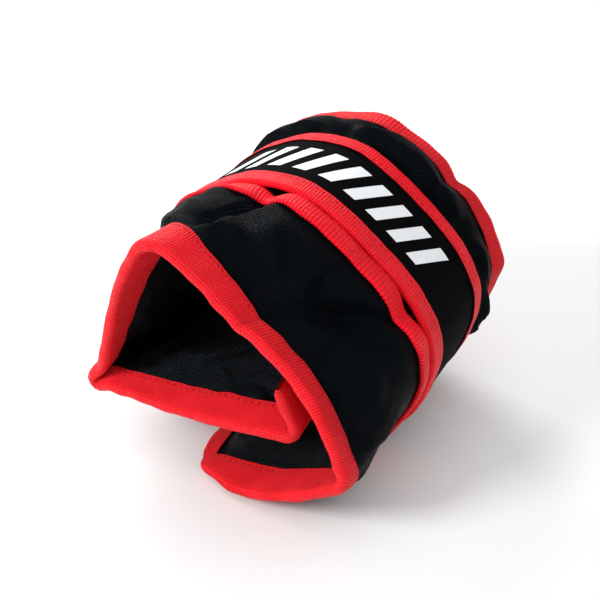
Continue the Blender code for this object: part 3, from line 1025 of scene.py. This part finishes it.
def build_band(cover_points):
    """Loop band over the cover, and the tape folded over its near edge."""
    surface = grid_surface(US, YS, blurred(blurred(cover_points, 1, 1), 0, 4))
    regions = clipped(STRIP_REGIONS[1:], BAND_FROM, BAND_TO)
    us, slices = columns(regions, BAND_STEP)
    ys = np.linspace(BAND_Y[0] + BAND_TAPE - UNDER_TAPE, BAND_Y[1], BAND_ROWS)
    points, normals = surface(us, ys)
    high = on_ground(points + normals * BAND_HIGH, BAND_LOWEST)
    low = on_ground(points + normals * BAND_LOW, BAND_INNER_LOWEST)
    layer = sheet_layer(high, low, normals, us, ys)
    make_pieces(layer, slices, regions, "loop_band", LOOP, "loop_band")
    tape_us, tape_slices = columns(regions, NARROW_RIB_STEP)

    def band_middle(us, ys):
        found, out = surface(us, ys)
        return on_ground(found + out * BAND_MIDDLE, BAND_MIDDLE_LOWEST), out

    tape = rim_tape(band_middle, tape_us, BAND_Y[0], 1, BAND_TAPE_SIZE, NARROW_RIBS, BAND_WAVES)
    tape["outer"] = on_ground(tape["outer"], BAND_LOWEST)
    make_pieces(tape, tape_slices, regions, "band_binding", STRAP_TAPE_FINISH,
                "band_binding")


# ---------- the strap
STRAP_STEP, STRAP_ROWS = 1.2, 20
WEB_INSET = 0.4  # the web ends this far inside its folded tapes


def build_strap():
    """The strap's web, and the tapes folded over its two edges."""
    us, slices = columns(STRAP_REGIONS, STRAP_STEP)
    half = STRAP_HALF_WIDTH - WEB_INSET
    ys = np.linspace(STRAP_Y - half, STRAP_Y + half, STRAP_ROWS)
    points, normals = strap_middle(us, ys)
    offset = normals * (STRAP_THICK / 2)
    layer = sheet_layer(points + offset, points - offset, normals, us, ys)
    make_pieces(layer, slices, STRAP_REGIONS, "strap", WEB, "web")
    tape_us, tape_slices = columns(STRAP_REGIONS, NARROW_RIB_STEP)
    for word, side in (("near", -1), ("far", 1)):
        edge = STRAP_Y + side * STRAP_HALF_WIDTH
        tape = rim_tape(strap_middle, tape_us, edge, -side, STRAP_TAPE_SIZE, NARROW_RIBS, STRAP_WAVES)
        make_pieces(tape, tape_slices, STRAP_REGIONS, f"strap_{word}_binding", STRAP_TAPE_FINISH,
                    f"{word}_binding")


PRINT_FROM, PRINT_TO = (-24, 99), (56, 74)  # in the section
BAR_COUNT = 9
BAR_SHARE = 0.52  # a bar's length, as a share of the pitch from bar to bar
BAR_HALF_Y = 9.0
BAR_LEAN = 4.0
BAR_LOW, BAR_THICK = 0.7, 0.17
BAR_STEPS, BAR_ROWS = 6, 9


def build_print():
    """A plain row of slanted bars on the strap, a generic stand-in for the maker's print."""
    low, high = strap_u_near(*PRINT_FROM), strap_u_near(*PRINT_TO)
    pitch = (high - low) / BAR_COUNT
    bars = [(low + pitch * k, low + pitch * (k + BAR_SHARE)) for k in range(BAR_COUNT)]
    shares = np.linspace(-1, 1, BAR_ROWS)
    for region in STRAP_REGIONS:
        mine = [bar for bar in bars if region.low <= sum(bar) / 2 < region.high]
        if not mine:
            continue
        builder = Builder()
        for first, last in mine:
            us = np.linspace(first, last, BAR_STEPS)
            middle = np.zeros((BAR_STEPS, BAR_ROWS, 3))
            normals = np.zeros((BAR_STEPS, BAR_ROWS, 3))
            for j, share in enumerate(shares):
                p, n = strap_middle(us + BAR_LEAN * share, np.array([STRAP_Y - 1, STRAP_Y + 1]))
                middle[:, j] = p[:, 0]
                middle[:, j, 1] = STRAP_Y + share * BAR_HALF_Y
                normals[:, j] = n[:, 0]
            base = middle + normals * BAR_LOW
            top = base + normals * BAR_THICK
            builder.sheet(sheet_layer(top, base, normals, us, shares * BAR_HALF_Y))
        piece = builder.make(f"strap_print_{region.name}", PRINT)
        region.attach(piece)


# ---------- hidden pieces
POUCH_INSET = 12.0  # from the seams
POUCH_SIDE_GAP = 5.0  # from the rim tapes
POUCH_GAP = 2.3  # from the cover and from the lining
POUCH_LEAST = 0.4  # half its thickness where the hollow is thinnest
POUCH_STEPS, POUCH_ROWS = 30, 40


def build_pouches(cover_points, lining_points):
    """The sewn bags of sand, moulded to the hollow between cover and lining."""
    over = grid_surface(US, YS, cover_points)
    under = grid_surface(US, YS, lining_points)
    reach = RIM_Y - TAPE_WIDTH - POUCH_SIDE_GAP
    ys = np.linspace(-reach, reach, POUCH_ROWS)
    for k, body in enumerate(BODIES[1:], start=1):
        us = np.linspace(CORNER_U[k] + POUCH_INSET, CORNER_U[k + 1] - POUCH_INSET, POUCH_STEPS)
        top, normals = over(us, ys)
        bottom, _ = under(us, ys)
        gap = np.linalg.norm(top - bottom, axis=-1)
        half = np.maximum(gap / 2 - POUCH_GAP, POUCH_LEAST)[..., None]
        middle = (top + bottom) / 2
        offset = unit(top - bottom) * half
        layer = sheet_layer(middle + offset, middle - offset, normals, us, ys)
        piece = one_sheet(layer, f"sand_pouch_{body}", SAND_BAG)
        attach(piece, body)
        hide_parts(f"{body}_sand_pouch")


HOOKS_HIGH, HOOKS_LOW = -0.8, -1.6  # the patch's two faces, from the strap's middle sheet
HOOKS_INSET = 1.0
HOOKS_STEPS, HOOKS_ROWS = 30, 24


def build_hook_patch():
    """Hooks on the inner face of the strap's tip."""
    tip = STRAP_REGIONS[-1]
    us = np.linspace(tip.low, tip.high - HOOKS_INSET, HOOKS_STEPS)
    half = STRAP_HALF_WIDTH - STRAP_TAPE - HOOKS_INSET
    ys = np.linspace(STRAP_Y - half, STRAP_Y + half, HOOKS_ROWS)
    points, normals = strap_middle(us, ys)
    high, low = points + normals * HOOKS_HIGH, points + normals * HOOKS_LOW
    layer = sheet_layer(high, low, normals, us, ys)
    piece = one_sheet(layer, "strap_hooks", HOOKS)
    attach(piece, "strap_tip")
    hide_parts("hook_patch")


# ---------- floor, light, camera
FLOOR_HALF = 20.0  # metres
FLOOR_Z = -0.0002
AMBIENT = 0.3
SUN_STRENGTH, SUN_SPREAD, SUN_WAY = 1.75, 85, (-0.32, -0.05, -1)
LIT_POINT = Vector((0, 0, 0.05))
# Name, place, diameter and watts of each lamp
LAMPS = (("back", (-0.5, 0.45, 0.5), 0.45, 4.0), ("front", (-0.4, -0.6, 0.5), 0.3, 6.0))


def build_stage():
    """White surroundings and a pale floor."""
    world = bpy.data.worlds.new("studio")
    bpy.context.scene.world = world
    world.use_nodes = True
    background = world.node_tree.nodes["Background"]
    background.inputs["Color"].default_value = (1, 1, 1, 1)
    background.inputs["Strength"].default_value = AMBIENT
    mesh = bpy.data.meshes.new("floor")
    sides = ((-1, -1), (1, -1), (1, 1), (-1, 1))
    corners = [(x * FLOOR_HALF, y * FLOOR_HALF, FLOOR_Z) for x, y in sides]
    mesh.from_pydata(corners, [], [(0, 1, 2, 3)])
    floor = bpy.data.objects.new("floor", mesh)
    bpy.context.scene.collection.objects.link(floor)
    mesh.materials.append(principled("floor", (0.80, 0.81, 0.81), 0.9, Specular_IOR_Level=0.1))


def add_looking(name, data, place, way):
    """Adds a light or a camera at a place, turned to look one way."""
    made = bpy.data.objects.new(name, data)
    made.location = place
    made.rotation_mode = "QUATERNION"
    made.rotation_quaternion = Vector(way).to_track_quat("-Z", "Y")
    bpy.context.scene.collection.objects.link(made)
    return made


def build_lights():
    """A very wide soft light from above, and two lamps to the left, behind and in front."""
    sun = bpy.data.lights.new("overhead", "SUN")
    sun.energy, sun.angle = SUN_STRENGTH, math.radians(SUN_SPREAD)
    add_looking("overhead", sun, (0, 0, 0), SUN_WAY)
    for name, place, size, power in LAMPS:
        lamp = bpy.data.lights.new(name, "AREA")
        lamp.shape, lamp.size, lamp.energy = "DISK", size, power
        add_looking(name, lamp, place, LIT_POINT - Vector(place))


CAMERA_AZIMUTH, CAMERA_ELEVATION = 29.5, 33.4  # degrees
CAMERA_DISTANCE = 0.359  # metres
CAMERA_AIM = Vector((-CENTRE_X, STRAP_Y, 45)) * MM
CAMERA_SENSOR, CAMERA_LENS = 36, 54


def build_camera():
    azimuth, elevation = math.radians(CAMERA_AZIMUTH), math.radians(CAMERA_ELEVATION)
    back = Vector((math.sin(azimuth) * math.cos(elevation),
                   -math.cos(azimuth) * math.cos(elevation), math.sin(elevation)))
    data = bpy.data.cameras.new("camera")
    data.sensor_width, data.lens = CAMERA_SENSOR, CAMERA_LENS
    data.clip_start, data.clip_end = 0.01, 20
    place = CAMERA_AIM + back * CAMERA_DISTANCE
    bpy.context.scene.camera = add_looking("camera", data, place, -back)


build_stage()
build_lights()
build_camera()
bpy.context.scene.view_settings.view_transform = "Standard"
cover_points = build_covers()
lining_points = build_linings()
build_pouches(cover_points, lining_points)
build_rims()
build_ends()
build_band(cover_points)
build_strap()
build_print()
build_hook_patch()
